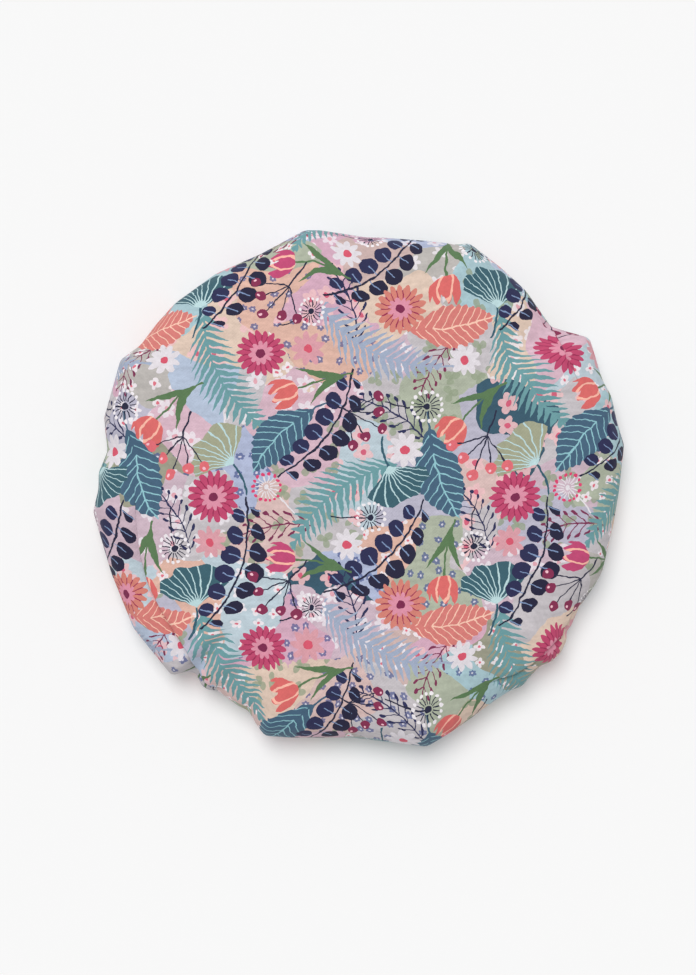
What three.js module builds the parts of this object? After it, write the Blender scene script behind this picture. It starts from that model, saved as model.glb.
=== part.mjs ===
// A lined shower cap, lying crown up on its gathered hem.
// Sizes are in millimetres and +Z is up. The origin is on the surface that the cap lies on,
// below the middle of its outline. +X runs along the widest line of the cap.

import * as THREE from "three";

// Overall sizes of the cap as it lies
const capWidth = 290;
const capDepth = 283;
const capHeight = 42;

// Cloth, film and the gap between neighbouring layers
const shellThickness = 0.6;
const liningThickness = 0.4;
const layerGap = 0.3;

// Elastic band at rest, with its two ends lapped and sewn together
const openingRadius = 64;
const elasticWidth = 5;
const elasticThickness = 0.9;
const elasticLap = 16;
const elasticClimb = 24;

// Casing: a tape folded round the elastic and over the edges of the shell and the lining
const tapeThickness = 0.5;
const seamAllowance = 6;
const foldReach = 1.5;
const foldClearance = 0.6;

// Gathers: folds that stand up from the underside and are deepest at the hem
const gatherCount = 46;
const gatherDepth = 7;

// Outline corners, anticlockwise from the right, as shares of the half width and the half depth
const cornerShares = [
  [0.98, 0.0],
  [1.0, 0.16],
  [0.95, 0.36],
  [0.86, 0.57],
  [0.72, 0.62],
  [0.62, 0.77],
  [0.41, 0.94],
  [0.04, 0.96],
  [-0.18, 1.0],
  [-0.54, 0.83],
  [-0.7, 0.71],
  [-0.9, 0.49],
  [-0.96, 0.26],
  [-0.95, 0.13],
  [-1.0, -0.09],
  [-0.94, -0.33],
  [-0.85, -0.55],
  [-0.71, -0.71],
  [-0.58, -0.77],
  [-0.36, -0.94],
  [-0.18, -0.99],
  [0.15, -1.0],
  [0.38, -0.93],
  [0.6, -0.78],
  [0.76, -0.64],
  [0.81, -0.48],
  [0.93, -0.29],
];

// Crown, from its middle out and over the rolled edge: share of the outline, share of the height
const crownMiddleShare = 0.97;
const crownRingShares = [
  [0.35, 1.0],
  [0.7, 0.97],
  [0.88, 0.88],
  [0.965, 0.7],
  [1.0, 0.4],
  [0.97, 0.1],
];

// Underside, from the rolled edge in to the casing: share of the way, share of a gather's depth
const underRingShares = [
  [0.25, 0.1],
  [0.65, 0.5],
  [1.0, 0.9],
];

// Depth of one gather after another, as shares of the deepest
const gatherShares = [1.0, 0.7, 0.9, 0.6, 0.95, 0.75, 0.85];

// Folds in the crown: direction and half width as shares of a turn, where they begin as a share
// of the outline, and how far they sink as a share of the height
const foldShares = [
  [0.112, 0.035, 0.5, 0.17],
  [0.575, 0.065, 0.72, 0.12],
  [0.645, 0.03, 0.6, 0.2],
  [0.48, 0.03, 0.75, 0.08],
  [0.79, 0.03, 0.6, 0.09],
  [0.915, 0.035, 0.55, 0.1],
];
const foldRampShare = 0.2;

// How far a gather lifts the casing's folded edge and draws its edges in, as shares of its height
const puckerShare = 0.45;
const rippleShare = 0.15;

// Sizes that follow from how the layers lie on each other
const halfWidth = capWidth / 2;
const halfDepth = capDepth / 2;
const clothStack = shellThickness + layerGap + liningThickness;
const clothLevel = tapeThickness + layerGap;
const lapLift = elasticThickness + layerGap;
const foldHeight = clothLevel + lapLift + elasticThickness + foldClearance + tapeThickness;
const deepestRipple = rippleShare * gatherDepth;
const elasticInnerRadius = openingRadius + deepestRipple + foldReach + foldClearance;
const elasticOuterRadius = elasticInnerRadius + elasticWidth;
const clothEndRadius = elasticOuterRadius + foldClearance;
const casingRadius = clothEndRadius + seamAllowance;

const fullTurn = 2 * Math.PI;
const hemPointCount = 2 * gatherCount;

// Directions and outline

function polar(angle, radius, height) {
  return new THREE.Vector3(radius * Math.cos(angle), radius * Math.sin(angle), height);
}

function directionOf(point) {
  return Math.atan2(point.y, point.x);
}

// The turn from one direction to another, at most half a turn either way
function turnBetween(from, to) {
  const turn = (((to - from) % fullTurn) + fullTurn) % fullTurn;
  return turn > Math.PI ? turn - fullTurn : turn;
}

const corners = cornerShares.map(([acrossShare, alongShare]) => {
  return new THREE.Vector3(acrossShare * halfWidth, alongShare * halfDepth, 0);
});

// Where a ray from the middle meets the straight side between two outline corners
function outlinePoint(angle) {
  const start = corners.findIndex((corner, index) => {
    const next = corners[(index + 1) % corners.length];
    const past = turnBetween(directionOf(corner), angle);
    return past >= 0 && past < turnBetween(directionOf(corner), directionOf(next));
  });
  const side = corners[(start + 1) % corners.length].clone().sub(corners[start]);
  const ray = polar(angle, halfWidth, 0);
  const reachShare = corners[start].clone().cross(side).z / ray.clone().cross(side).z;
  return ray.multiplyScalar(reachShare);
}

// Directions spread evenly round the cap, each moved onto an outline corner that is near it
function crownDirections() {
  const step = fullTurn / gatherCount;
  return Array.from({ length: gatherCount }, (_, index) => {
    const even = index * step;
    const turns = corners.map((corner) => turnBetween(even, directionOf(corner)));
    const least = turns.reduce((best, turn) => (Math.abs(turn) < Math.abs(best) ? turn : best));
    return Math.abs(least) < step / 2 ? even + least : even;
  });
}

// The same directions with one more halfway between each two
function withHalves(directions) {
  return directions.flatMap((angle, index) => {
    const next = directions[(index + 1) % directions.length];
    return [angle, angle + turnBetween(angle, next) / 2];
  });
}

// Rings of points on the outer face of the cap

function smoothStep(value) {
  const held = Math.min(Math.max(value, 0), 1);
  return held * held * (3 - 2 * held);
}

// What the folds leave of the crown's height
function heightLeft(angle, outlineShare) {
  return foldShares.reduce((left, [turnShare, widthShare, startShare, sinkShare]) => {
    const away = Math.abs(turnBetween(turnShare * fullTurn, angle)) / (widthShare * fullTurn);
    const along = smoothStep((outlineShare - startShare) / foldRampShare);
    return left - sinkShare * along * (1 - smoothStep(away));
  }, 1);
}

function crownRing(directions, outlineShare, heightShare) {
  return directions.map((angle) => {
    const point = outlinePoint(angle).multiplyScalar(outlineShare);
    point.z = capHeight * heightShare * heightLeft(angle, outlineShare);
    return point;
  });
}

// How far the cloth stands up at a point of the hem: every other point is on a gather
function gatherRise(index) {
  const gather = Math.floor(index / 2);
  return (index % 2) * gatherDepth * gatherShares[gather % gatherShares.length];
}

function hemDirection(index) {
  return (index / hemPointCount) * fullTurn;
}

function hemRing(radius, riseShare) {
  return Array.from({ length: hemPointCount }, (_, index) => {
    return polar(hemDirection(index), radius, clothLevel + riseShare * gatherRise(index));
  });
}

function underRing(rolledEdge, wayShare, riseShare) {
  return hemRing(casingRadius, riseShare).map((point, index) => {
    const edge = rolledEdge[index].clone().setZ(point.z);
    return edge.lerp(point, wayShare);
  });
}

// Faces and solids

// Triangles between two rings of point numbers that both run anticlockwise, where the second
// has as many points as the first or twice as many, or one of them is a single point
function ringFaces(first, second) {
  const steps = Math.max(first.length, second.length);
  const at = (ring, step) => ring[Math.round((step * ring.length) / steps) % ring.length];
  const faces = [];
  for (let step = 0; step < steps; step += 1) {
    faces.push([at(first, step), at(second, step), at(second, step + 1)]);
    faces.push([at(first, step), at(second, step + 1), at(first, step + 1)]);
  }
  return faces.filter((face) => new Set(face).size === face.length);
}

// Point numbers of a list of rings, counted from the first point on
function numbered(rings) {
  let count = 0;
  return rings.map((ring) => ring.map(() => count++));
}

function facesThrough(numbers) {
  return numbers.slice(1).flatMap((ring, index) => ringFaces(numbers[index], ring));
}

function reversed(faces) {
  return faces.map((face) => face.toReversed());
}

function solid(name, points, faces, look) {
  const geometry = new THREE.BufferGeometry().setFromPoints(points);
  geometry.setIndex(faces.flat());
  geometry.computeVertexNormals();
  const material = new THREE.MeshStandardMaterial({ ...look, flatShading: true });
  const mesh = new THREE.Mesh(geometry, material);
  mesh.name = name;
  return mesh;
}

// For each point, the move that takes every face round it inwards by one unit along its normal
function inwardMoves(points, faces) {
  const steadyShare = 0.02;
  const normals = points.map(() => []);
  for (const face of faces) {
    const triangle = new THREE.Triangle(...face.map((number) => points[number]));
    const normal = triangle.getNormal(new THREE.Vector3()).negate();
    face.forEach((number) => normals[number].push(normal));
  }
  return normals.map((around) => {
    const sum = around.reduce((total, normal) => total.add(normal), new THREE.Vector3());
    const entry = (row, column) => {
      const steady = row === column ? steadyShare : 0;
      return around.reduce((total, normal) => {
        return total + normal.getComponent(row) * normal.getComponent(column);
      }, steady);
    };
    const rows = [0, 1, 2].flatMap((row) => [0, 1, 2].map((column) => entry(row, column)));
    const spread = new THREE.Matrix3(...rows);
    const middle = sum.clone().normalize();
    return sum.addScaledVector(middle, steadyShare).applyMatrix3(spread.invert());
  });
}

// Outer face of the cap, from the middle of the crown to the edge inside the casing

const directions = crownDirections();
const innerDirections = directions.filter((_, index) => index % 2 === 0);
const [firstCrownShares, ...otherCrownShares] = crownRingShares;
const [edgeShare, edgeHeightShare] = crownRingShares.at(-1);
const rolledEdge = crownRing(withHalves(directions), edgeShare, edgeHeightShare);
const rings = [
  [new THREE.Vector3(0, 0, capHeight * crownMiddleShare)],
  crownRing(innerDirections, ...firstCrownShares),
  ...otherCrownShares.map((shares) => crownRing(directions, ...shares)),
  ...underRingShares.map((shares) => underRing(rolledEdge, ...shares)),
  hemRing(clothEndRadius, 1),
];
const ringNumbers = numbered(rings);
const outerPoints = rings.flat();
const outerFaces = facesThrough(ringNumbers);
const moves = inwardMoves(outerPoints, outerFaces);

function sunkPoint(number, depth) {
  return outerPoints[number].clone().addScaledVector(moves[number], depth);
}

// One layer of the cap, between two depths below its outer face
function layer(name, topDepth, thickness, look) {
  const count = outerPoints.length;
  const top = outerPoints.map((_, number) => sunkPoint(number, topDepth));
  const bottom = outerPoints.map((_, number) => sunkPoint(number, topDepth + thickness));
  const bottomFaces = outerFaces.map((face) => face.map((number) => number + count));
  const edge = ringNumbers.at(-1);
  const edgeFaces = ringFaces(edge, edge.map((number) => number + count));
  const faces = [...outerFaces, ...reversed(bottomFaces), ...edgeFaces];
  return solid(name, [...top, ...bottom], faces, look);
}

// The casing's section at one point of the hem, from the mouth of its upper arm round the
// inside of the fold to the lower arm, and back round the outside
function casingSection(index) {
  const angle = hemDirection(index);
  const mouth = ringNumbers.at(-2)[index];
  const clothEnd = ringNumbers.at(-1)[index];
  const armDepth = clothStack + layerGap;
  const ripple = rippleShare * gatherRise(index);
  const foldRadius = openingRadius + ripple;
  const bendRadius = foldRadius + foldReach;
  const mouthRadius = casingRadius - ripple;
  const top = foldHeight + puckerShare * gatherRise(index);
  const inner = sunkPoint(clothEnd, armDepth);
  const outer = sunkPoint(clothEnd, armDepth + tapeThickness);
  return [
    sunkPoint(mouth, armDepth),
    inner.setZ(Math.max(inner.z, top - tapeThickness)),
    polar(angle, bendRadius, top - tapeThickness),
    polar(angle, foldRadius + tapeThickness, top / 2),
    polar(angle, bendRadius, tapeThickness),
    polar(angle, mouthRadius, tapeThickness),
    polar(angle, mouthRadius, 0),
    polar(angle, bendRadius, 0),
    polar(angle, foldRadius, top / 2),
    polar(angle, bendRadius, top),
    outer.setZ(Math.max(outer.z, top)),
    sunkPoint(mouth, armDepth + tapeThickness),
  ];
}

function hemBinding() {
  const sections = Array.from({ length: hemPointCount }, (_, index) => casingSection(index));
  const around = sections[0].map((_, corner) => sections.map((section) => section[corner]));
  const numbers = numbered(around);
  const faces = facesThrough([...numbers, numbers[0]]);
  return solid("hem_binding", around.flat(), faces, { color: 0xe6e3ea, roughness: 0.85 });
}

// The elastic is one flat strip. Near the end of its turn it climbs onto its own beginning.
function elasticSection(distance) {
  const middleRadius = (elasticInnerRadius + elasticOuterRadius) / 2;
  const angle = distance / middleRadius;
  const climbStart = fullTurn * middleRadius - elasticClimb;
  const low = clothLevel + lapLift * smoothStep((distance - climbStart) / elasticClimb);
  const high = low + elasticThickness;
  return [
    polar(angle, elasticInnerRadius, low),
    polar(angle, elasticOuterRadius, low),
    polar(angle, elasticOuterRadius, high),
    polar(angle, elasticInnerRadius, high),
  ];
}

function elasticBand() {
  const middleRadius = (elasticInnerRadius + elasticOuterRadius) / 2;
  const length = fullTurn * middleRadius + elasticLap;
  const sections = Array.from({ length: hemPointCount + 1 }, (_, index) => {
    return elasticSection((index / hemPointCount) * length);
  });
  const numbers = numbered(sections);
  const [one, two, three, four] = numbers[0];
  const startFaces = [[one, two, three], [one, three, four]];
  const shift = numbers.at(-1)[0];
  const endFaces = reversed(startFaces).map((face) => face.map((number) => number + shift));
  const faces = [...facesThrough(numbers), ...startFaces, ...endFaces];
  return solid("elastic_band", sections.flat(), faces, { color: 0xf4f2ee, roughness: 0.8 });
}

const cap = new THREE.Group();
cap.add(
  layer("outer_shell", 0, shellThickness, { color: 0xc3bfd3, roughness: 0.9 }),
  layer("inner_lining", shellThickness + layerGap, liningThickness, { color: 0xeef1f2, roughness: 0.4 }),
  hemBinding(),
  elasticBand(),
);

export default cap;
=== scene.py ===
import math
from bisect import bisect

import bmesh
import bpy
from mathutils import Matrix, Vector, noise


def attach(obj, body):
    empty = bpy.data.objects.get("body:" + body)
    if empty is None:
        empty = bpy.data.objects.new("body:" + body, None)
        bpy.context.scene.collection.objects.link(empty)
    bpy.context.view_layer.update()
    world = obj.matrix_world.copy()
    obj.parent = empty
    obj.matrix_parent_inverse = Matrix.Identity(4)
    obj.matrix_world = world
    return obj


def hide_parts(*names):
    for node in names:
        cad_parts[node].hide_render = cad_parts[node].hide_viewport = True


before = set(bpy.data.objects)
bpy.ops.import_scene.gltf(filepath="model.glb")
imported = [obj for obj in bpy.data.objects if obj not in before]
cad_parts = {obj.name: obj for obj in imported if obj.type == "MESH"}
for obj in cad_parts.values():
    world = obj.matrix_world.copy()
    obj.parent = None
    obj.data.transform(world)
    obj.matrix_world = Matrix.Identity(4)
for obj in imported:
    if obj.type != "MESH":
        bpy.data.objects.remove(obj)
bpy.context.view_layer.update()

MM = 0.001

# Sizes of the cap, in millimetres
CUT_RADIUS = 229
CROWN_RADIUS = 142
SEAM_RADIUS = 76
HEM_LEVEL = 3.7
SHELL_THICKNESS = 0.32
LINING_THICKNESS = 0.18
LINING_SINK = 1.0
TAPE_THICKNESS = 0.28
ELASTIC_WIDTH = 5
ELASTIC_THICKNESS = 0.9
ELASTIC_RADIUS = 69.8
ELASTIC_LAP = 16
STITCH_RADIUS = 75.2

# Stitches, rows of faces round the cap, and how many of those rows the tape's lap covers
STITCHES = 390
STEPS = 540
TAPE_LAP_STEPS = 13

# Corners of the outline seen from above, in turn from +X
OUTLINE = [
    (145, 23), (141, 36), (138, 50), (133, 59), (126, 82), (105, 88), (91, 108), (78, 120), (60, 134),
    (54, 133), (39, 135), (12, 137), (4, 137), (-22, 141), (-30, 141), (-54, 128), (-79, 117),
    (-101, 101), (-111, 90), (-120, 78), (-131, 70), (-140, 38), (-138, 20), (-143, 8), (-143, -1),
    (-146, -13), (-136, -47), (-124, -77), (-103, -103), (-101, -103), (-97, -101), (-90, -101),
    (-87, -108), (-83, -111), (-78, -111), (-66, -120), (-61, -122), (-57, -129), (-52, -136),
    (-38, -137), (-4, -137), (37, -142), (52, -133), (75, -116), (83, -111), (89, -109), (94, -103),
    (99, -98), (106, -95), (110, -91), (113, -85), (114, -82), (113, -79), (116, -76), (120, -66),
    (128, -55), (133, -46), (139, -21), (142, -3),
]

# One line of the cloth from the middle of the crown to the hem: shares of the crown's and
# the hem's radius that add up to the distance out, then the height
RUN = [
    (0.0, 0.0, 40.6), (0.2, 0.0, 41.2), (0.42, 0.0, 41.4), (0.62, 0.0, 40.8), (0.78, 0.0, 39.4),
    (0.88, 0.0, 37.0), (0.945, 0.0, 32.6), (0.982, 0.0, 26.0), (0.998, 0.0, 18.4),
    (0.993, 0.0, 11.0), (0.965, 0.0, 5.0), (0.92, 0.0, 2.0), (0.74, 0.18, 1.0),
    (0.47, 0.47, 1.1), (0.22, 0.76, 1.6), (0.08, 0.91, 2.6), (0.0, 0.984, HEM_LEVEL),
]

# Tucks where the crown's edge folds back under itself and the cloth stands out again below it:
# for each point of the fold the turn in degrees, the distance out and how much of the tuck is there
TUCKS = [
    [(180, 121, 0), (190, 122, 0.35), (197, 123.2, 0.8), (204, 124.8, 1), (211, 125.4, 1),
     (216, 125.9, 1), (221, 127.2, 1), (225, 129.4, 1), (228, 132.2, 1), (231, 136, 0.9),
     (235, 140, 0.25), (239, 143, 0)],
    [(25, 131, 0), (30, 131.5, 0.3), (34, 132.6, 0.7), (37, 134, 0.9), (40, 136.4, 0.8),
     (43, 139, 0.3), (47, 143, 0)],
    [(303, 126.5, 0), (306, 127.7, 0.5), (309, 130.5, 0.9), (312, 132.2, 1), (315, 134, 0.5),
     (317, 134.6, 0.15), (319, 134.1, 0.5), (322, 134.9, 1), (325, 137, 1), (328, 139.5, 0.5),
     (331, 142, 0)],
    [(149, 144.5, 0), (153, 143.8, 0.5), (157, 142.8, 0.9), (161, 141.6, 1), (165, 140.4, 0.7),
     (169, 139, 0)],
]
# How large each tuck is, and the cloth that it takes to bend back, run under and return, in millimetres
TUCK_SCALES = [1, 0.8, 0.6, 0.4]
TUCK_BEND = 1.8
TUCK_UNDER = 3
TUCK_RETURN = 5
TUCK_ROWS = 40
# The roll of cloth above a tuck, the dip beyond it, the room that the lining leaves under it, and the
# cloth over which the run that it took is given back
ROLL_HEIGHT = 1.4
ROLL_PLACE = -3
ROLL_WIDTH = 3.5
DIP_DEPTH = 1.3
DIP_IN = 3
DIP_OUT = 7
LINING_ROOM = 6
GIVE_BACK = (20, 75)

# Soft folds and dents in the crown: start, end, half width and depth
DENTS = [
    ((122, -86), (92, -58), 7, 1.5),
    ((66, -140), (78, -74), 6, 1.3),
    ((40, -146), (52, -104), 4, 1.2),
    ((18, -146), (14, -112), 5, -0.7),
    ((96, 96), (116, 62), 8, 1.4),
    ((-142, -50), (-112, -44), 6, 0.8),
    ((-60, -132), (-38, -100), 5, 1.2),
    ((-78, -112), (-52, -92), 5, 1.3),
    ((-136, 20), (-104, 14), 6, 0.9),
    ((8, 140), (12, 108), 5, 0.9),
    ((140, 8), (108, -2), 7, 0.8),
    ((-62, -115.5), (-78, -105), 1.8, 1.7),
    ((-67, -112), (-80, -104), 1.6, -0.7),
    ((-85, -112), (-70, -96), 2.6, 1.2),
    ((118, -75), (102, -88), 4, 2.4),
    ((116, -88), (106, -96), 3.5, -1.4),
    ((86, -114), (76, -98), 3, 1.3),
]


def smooth(low, high, x):
    """Rise from 0 to 1 between two values, without a corner at either."""
    x = min(1, max(0, (x - low) / (high - low)))
    return x * x * (3 - 2 * x)


def between(table, x):
    """Look a value up in rows that start with their place, straight from one row to the next."""
    for low, high in zip(table, table[1:]):
        if x <= high[0]:
            share = max(0, (x - low[0]) / (high[0] - low[0]))
            return [a + (b - a) * share for a, b in zip(low[1:], high[1:])]
    return list(table[-1][1:])


def rounded(points, pieces):
    """Points along a smooth curve through the given ones."""
    curve = []
    padded = [points[0], *points, points[-1]]
    for a, b, c, d in zip(padded, padded[1:], padded[2:], padded[3:]):
        for k in range(pieces):
            t = k / pieces
            curve.append([
                0.5 * (
                    2 * q + (r - p) * t + (2 * p - 5 * q + 4 * r - s) * t * t
                    + (3 * q - p - 3 * r + s) * t ** 3
                )
                for p, q, r, s in zip(a, b, c, d)
            ])
    return curve + [list(points[-1])]


# A ring of values holds one for each quarter degree; a ring of gathers, one for each sixth
RING = 1440
GATHER_RING = 2160


def outline_table():
    """Ring of distances from the middle to the outline, straight from corner to corner."""
    corners = [Vector(c) for c in OUTLINE]
    reach = []
    for k in range(RING):
        way = Vector((math.cos(k * math.tau / RING), math.sin(k * math.tau / RING)))
        for a, b in zip(corners, corners[1:] + corners[:1]):
            side = b - a
            cross = way.x * side.y - way.y * side.x
            if abs(cross) < 1e-9:
                continue
            out = (a.x * side.y - a.y * side.x) / cross
            along = (a.x * way.y - a.y * way.x) / cross
            if out > 0 and -1e-6 <= along <= 1 + 1e-6:
                reach.append(out)
                break
    return reach


def ring_average(values, width):
    """Each value of a closed ring averaged with its neighbours."""
    count = len(values)
    total = 2 * width + 1
    return [sum(values[(k + d) % count] for d in range(-width, width + 1)) / total for k in range(count)]


def ring_value(values, turn):
    """The value of a closed ring at a turn in radians."""
    place = (turn / math.tau % 1) * len(values)
    low = int(place)
    share = place - low
    return values[low % len(values)] * (1 - share) + values[(low + 1) % len(values)] * share


# The outline with slightly rounded corners, and smoothed over a third of a turn
CRISP = ring_average(ring_average(outline_table(), 2), 2)
SOFT = ring_average(ring_average(CRISP, 90), 60)


def run_table():
    """The run of the cloth as rows of flat distance, crown share, hem share and height."""
    curve = rounded(RUN, 12)
    flat = [0]
    for a, b in zip(curve, curve[1:]):
        out = (b[0] - a[0]) * CROWN_RADIUS + (b[1] - a[1]) * SEAM_RADIUS
        flat.append(flat[-1] + math.hypot(out, b[2] - a[2]))
    return [(f * CUT_RADIUS / flat[-1], *row) for f, row in zip(flat, curve)]


RUN_TABLE = run_table()
RUN_FLATS = [row[0] for row in RUN_TABLE]


def run_at(flat):
    """Crown share, hem share and height of the cloth at a flat distance from its middle."""
    above = min(max(bisect(RUN_FLATS, flat), 1), len(RUN_TABLE) - 1)
    low, high = RUN_TABLE[above - 1], RUN_TABLE[above]
    share = min(1, max(0, (flat - low[0]) / (high[0] - low[0])))
    return [a + (b - a) * share for a, b in zip(low[1:], high[1:])]


def flat_at(share):
    """Flat distance at which the cloth first reaches a share of the crown's radius."""
    above = next(k for k, row in enumerate(RUN_TABLE) if row[1] >= share)
    low, high = RUN_TABLE[above - 1], RUN_TABLE[above]
    return low[0] + (high[0] - low[0]) * (share - low[1]) / (high[1] - low[1])


CROWN_EDGE = 0.975
FLAT_AT_CROWN_EDGE = flat_at(CROWN_EDGE)


def tuck_run():
    """The fold back and the fold out again, as rows of cloth length, distance along and depth below."""
    length = TUCK_BEND + TUCK_UNDER + TUCK_RETURN
    rows = [(0, 0, 0)]
    step = length / TUCK_ROWS
    for k in range(TUCK_ROWS):
        at = (k + 0.5) * step
        lean = math.pi * min(1, at / TUCK_BEND, (length - at) / TUCK_RETURN)
        done, along, below = rows[-1]
        rows.append((done + step, along + math.cos(lean) * step, below + math.sin(lean) * step))
    return rows


TUCK_RUN = tuck_run()


def tuck_fold(tuck, turn):
    """Flat distance of a tuck's fold at a turn, and how much of the tuck is there."""
    first, last = tuck[0][0], tuck[-1][0]
    out, share = between(tuck, min(last, max(first, math.degrees(turn) % 360)))
    return flat_at(min(CROWN_EDGE, out / ring_value(CRISP, turn))), share


# Rows of the round cut: start, end and how many. Those between the fixed rows move, so that the closest
# ones lie at the tucks, or at CLOSE_AT where there is none, and go over from one to the other in some degrees
FIXED_IN, CLOSE_IN, CLOSE_OUT, FIXED_OUT = 78, 118, 129, 176
CUT_ROWS = [
    (0, FIXED_IN, 10), (FIXED_IN, CLOSE_IN, 15), (CLOSE_IN, CLOSE_OUT, 23), (CLOSE_OUT, FIXED_OUT, 23),
    (FIXED_OUT, CUT_RADIUS, 18),
]
CLOSE_AT = 136
CLOSE_BEFORE = 1
CLOSE_BEYOND = 12
GO_OVER = 14


def close_rows(turn):
    """Flat distance at which the cut's closest rows lie, so that they follow the tucks."""
    degrees = math.degrees(turn) % 360
    place = CLOSE_AT
    for tuck in TUCKS:
        beyond = max(tuck[0][0] - degrees, degrees - tuck[-1][0], 0)
        place += (tuck_fold(tuck, turn)[0] - CLOSE_AT) * (1 - smooth(0, GO_OVER, beyond))
    return place


# Gathers round the cap: at the rim, half way in and at the hem
COARSE_GATHERS = 26
MIDDLE_GATHERS = 52
FINE_GATHERS = 62


def gathers(turn, inward):
    """How far the gathers stand up, about 0 to 1, at a turn and a share of the way in from rim to hem."""
    ring = Vector((math.cos(turn), math.sin(turn), 0))
    lean = Vector((0, 0, 1.3 * inward))
    place = turn + 0.08 * noise.noise(ring * 2.3) + 0.018 * noise.noise(ring * 6 + lean)
    uneven = noise.noise(ring * 11 + lean)
    coarse = (0.5 - 0.5 * math.cos(COARSE_GATHERS * place)) ** 1.5
    middle = (0.5 - 0.5 * math.cos(MIDDLE_GATHERS * place + 0.9 * uneven)) ** 1.3
    fine = 0.5 - 0.5 * math.cos(FINE_GATHERS * place + 0.7 * uneven)
    first = 1 - smooth(0.1, 0.5, inward)
    last = smooth(0.55, 0.9, inward)
    stand = coarse * first + fine * last + middle * (1 - first - last)
    return stand * (0.8 + (0.45 + 0.5 * first) * uneven)


EDGE_GATHERS, HEM_GATHERS = (
    [gathers(k * math.tau / GATHER_RING, inward) for k in range(GATHER_RING)] for inward in (0, 1)
)
HEM_WAVE = 3.2
HEM_WAVE_MIDDLE = 1.4


def hem_wave(turn):
    """How far the gathered hem stands above or below its level."""
    return HEM_WAVE * ring_value(HEM_GATHERS, turn) - HEM_WAVE_MIDDLE


# Height of the gathers, and how far they sink below the cloth's run, by the share of the way in to the hem
GATHER_HEIGHTS = [(0, 2.4), (0.12, 5), (0.35, 8.4), (0.65, 9.6), (0.85, 6.4), (1, HEM_WAVE)]
GATHER_SINKS = [(0, 0), (0.7, 0), (1, HEM_WAVE_MIDDLE)]
# How far the gathers pull the rim in, below what height, and where the cloth lies flat in the casing
RIM_PULL = 2.6
RIM_TOP = 17
SEWN = (79.8, 88)
# Edge of the crown, as a share of its radius, where the way in to the hem starts
INWARD_FROM = 0.985 * CROWN_RADIUS
# Crown: how the outline lifts its edge, its swells and ripples, and the cloth over which they fade out
EDGE_LIFT = 0.45
SWELL, SWELL_LENGTH = 1.3, 46
RIPPLE, RIPPLE_LENGTH = 0.4, 15
FADE_IN, FADE_OUT = 12, 14


def cloth_point(flat, turn, tucked):
    """Where a point of the round cut lies in the sewn cap, from its flat distance out and its turn."""
    degrees = math.degrees(turn) % 360
    below = swell = near = 0
    # What a tuck takes of the run, and how far it lies below it: the shell folds, the lining makes room
    for tuck, scale in zip(TUCKS, TUCK_SCALES):
        if tuck[0][0] < degrees < tuck[-1][0]:
            fold, share = tuck_fold(tuck, turn)
            size = max(0.01, scale * share)
            past = flat - fold
            level = 1 - smooth(*GIVE_BACK, past)
            if tucked:
                swell = ROLL_HEIGHT * share * math.exp(-((past - ROLL_PLACE) / ROLL_WIDTH) ** 2)
                length = TUCK_RUN[-1][0] * size
                if past > 0:
                    along, under = between(TUCK_RUN, min(past, length) / size)
                    taken = min(past, length) - along * size
                    flat -= taken * level
                    dip = DIP_DEPTH * size * smooth(length - DIP_IN, length, past)
                    dip *= 1 - smooth(length, length + DIP_OUT, past)
                    below = under * size * level + dip
                    near = 1 - smooth(1, 2.2, past / length)
            else:
                below = LINING_ROOM * size * smooth(-14, -8, past) * level
                near = level
    # The outline, with its corners near the rim only
    crown, hem, height = run_at(flat)
    soft = ring_value(SOFT, turn)
    edge = ring_value(CRISP, turn) - soft
    crisp = smooth(0.5, 0.97, crown + hem) * (1 - smooth(0, 0.9, hem))
    radius = crown * (soft + edge * crisp) + hem * SEAM_RADIUS
    if below:
        start, end = run_at(flat - 0.5), run_at(flat + 0.5)
        out = (end[0] - start[0]) * CROWN_RADIUS + (end[1] - start[1]) * SEAM_RADIUS
        rise = end[2] - start[2]
        radius += below * near * rise / math.hypot(out, rise)
        swell -= below * max(0, out / math.hypot(out, rise))
    # The gathers, from the rim in to the hem
    inward = min(1, max(0, (INWARD_FROM - radius) / (INWARD_FROM - SEAM_RADIUS)))
    if flat > FLAT_AT_CROWN_EDGE and height < RIM_TOP:
        pull = RIM_PULL * ring_value(EDGE_GATHERS, turn) * smooth(RIM_TOP, 9, height)
        radius -= pull * (1 - smooth(0, 0.5, hem)) * smooth(0.7, 0.9, crown)
        stand = between(GATHER_HEIGHTS, inward)[0] * gathers(turn, inward) - between(GATHER_SINKS, inward)[0]
        height += stand * (1 - smooth(4, 14, height))
        height += (HEM_LEVEL + hem_wave(turn) - height) * (1 - smooth(*SEWN, radius))
    # The soft shapes of the crown
    x, y = radius * math.cos(turn), radius * math.sin(turn)
    if flat < FLAT_AT_CROWN_EDGE + FADE_OUT:
        fade = 1 - smooth(FLAT_AT_CROWN_EDGE - FADE_IN, FLAT_AT_CROWN_EDGE + FADE_OUT, flat)
        height += EDGE_LIFT * edge * smooth(0.62, 0.95, crown) * fade
        swells = SWELL * noise.noise(Vector((x / SWELL_LENGTH, y / SWELL_LENGTH, 0.5)))
        ripples = RIPPLE * noise.noise(Vector((x / RIPPLE_LENGTH, y / RIPPLE_LENGTH, 2.5)))
        height += (swells + ripples) * fade
        for start, end, width, depth in DENTS:
            side = Vector(end) - Vector(start)
            along = max(0, min(1, (Vector((x, y)) - Vector(start)).dot(side) / side.length_squared))
            away = (Vector((x, y)) - Vector(start) - side * along).length
            height -= depth * (1 - along ** 2) * math.exp(-(away / width) ** 2) * fade
    height += swell
    return Vector((x, y, max(0.3, height))) * MM


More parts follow.
